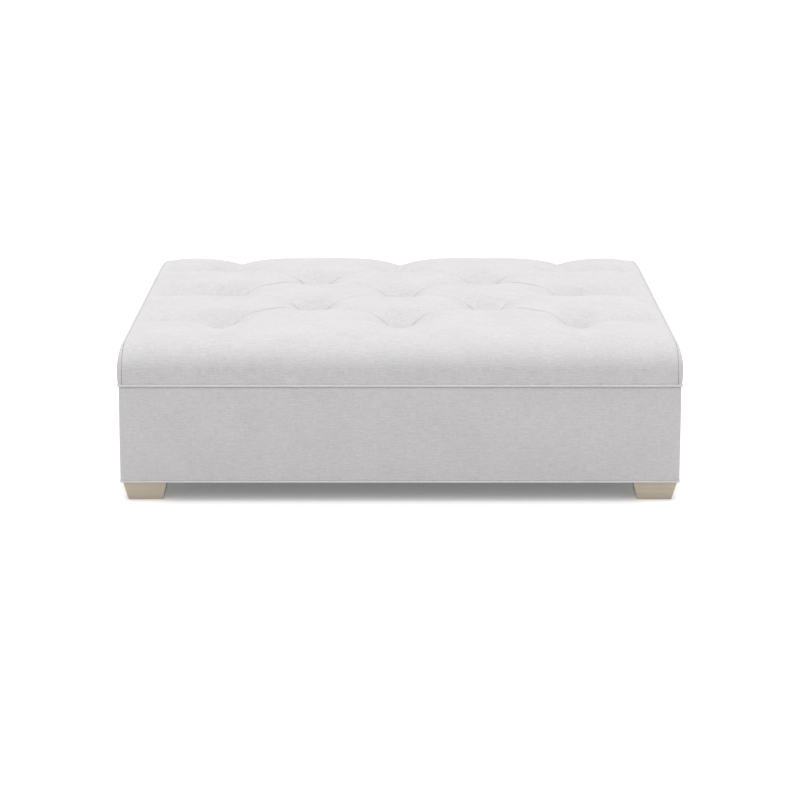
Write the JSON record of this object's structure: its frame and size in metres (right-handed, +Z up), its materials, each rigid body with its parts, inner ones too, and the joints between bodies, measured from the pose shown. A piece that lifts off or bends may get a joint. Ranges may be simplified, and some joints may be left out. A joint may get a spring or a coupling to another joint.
{
  "type": "storage ottoman coffee table",
  "caption": "Square button-tufted storage ottoman used as a coffee table: linen box on tapered oak feet, cushioned lid on a piano hinge with gas struts.",
  "frame": {"origin": "on the floor, under the middle of the box", "axes": "+Z up, the front faces -Y, +X to the right as seen from the front; the hinge is along the back"},
  "size_m": [1.3796, 1.3811, 0.4022],
  "materials": {
    "linen": "slubby plain-weave linen, pale grey",
    "linen_welt": "linen cut on the bias over cord",
    "wadding": "soft white polyester wadding",
    "foam": "open-cell polyurethane foam",
    "plywood": "unfinished birch plywood",
    "pine": "planed softwood",
    "washed_oak": "oak with a matt grey wash",
    "lining_cloth": "plain cotton",
    "black_cloth": "black non-woven cloth",
    "zinc_steel": "bright zinc plate",
    "hinge_steel": "satin nickel plate",
    "black_steel": "satin black paint",
    "rod_chrome": "hard chrome",
    "twine": "waxed nylon twine"
  },
  "bodies": {
    "base": {"base_back_panel": "plywood", "base_bottom_panel": "plywood", "base_cover": "linen", "base_front_panel": "plywood", "base_left_panel": "plywood", "base_padding": "wadding", "base_right_panel": "plywood", "base_welt": "linen_welt", "bottom_rails": "pine", "corner_blocks": "pine", "dust_cover": "black_cloth", "foot_back_left": "washed_oak", "foot_back_right": "washed_oak", "foot_bolts": "zinc_steel", "foot_front_left": "washed_oak", "foot_front_right": "washed_oak", "foot_nuts": "zinc_steel", "hinge_base_leaf": "hinge_steel", "hinge_base_screws": "zinc_steel", "hinge_pin": "hinge_steel", "storage_lining": "lining_cloth", "strut_base_brackets": "black_steel", "strut_base_screws": "zinc_steel"},
    "lid": {"hinge_lid_leaf": "hinge_steel", "hinge_lid_screws": "zinc_steel", "lid_deck": "plywood", "lid_foam": "foam", "lid_side_panel_left": "linen", "lid_side_panel_right": "linen", "lid_underside_cloth": "lining_cloth", "lid_welt": "linen_welt", "strut_lid_brackets": "black_steel", "strut_lid_screws": "zinc_steel", "tuft_buttons": "linen", "tuft_twines": "twine", "tufted_top": "linen", "twine_washers": "zinc_steel"},
    "left_tube": {"strut_left_tube": "black_steel"},
    "left_rod": {"strut_left_rod": "rod_chrome"},
    "right_tube": {"strut_right_tube": "black_steel"},
    "right_rod": {"strut_right_rod": "rod_chrome"}
  },
  "joints": [
    {"name": "lid_hinge", "type": "hinge", "parent": "base", "child": "lid", "pos_m": [0, 0.69, 0.28725], "axis": [-1, 0, 0], "range_deg": [0, 75]},
    {"name": "left_tube_pivot", "type": "hinge", "parent": "base", "child": "left_tube", "pos_m": [-0.6438, 0.641, 0.22125], "axis": [-1, 0, 0], "range_deg": [0, 70.88]},
    {"name": "left_rod_slide", "type": "slide", "parent": "left_tube", "child": "left_rod", "axis": [0, -0.9778, 0.2095], "range_m": [0, 0.09866]},
    {"name": "right_tube_pivot", "type": "hinge", "parent": "base", "child": "right_tube", "pos_m": [0.6438, 0.641, 0.22125], "axis": [-1, 0, 0], "range_deg": [0, 70.88]},
    {"name": "right_rod_slide", "type": "slide", "parent": "right_tube", "child": "right_rod", "axis": [0, -0.9778, 0.2095], "range_m": [0, 0.09866]}
  ],
  "couplings": [
    {"joint": "left_tube_pivot", "follows": "lid_hinge", "ratio": 0.94237},
    {"joint": "left_rod_slide", "follows": "lid_hinge", "m_per_rad": 0.075145},
    {"joint": "right_tube_pivot", "follows": "lid_hinge", "ratio": 0.94237},
    {"joint": "right_rod_slide", "follows": "lid_hinge", "m_per_rad": 0.075145}
  ]
}
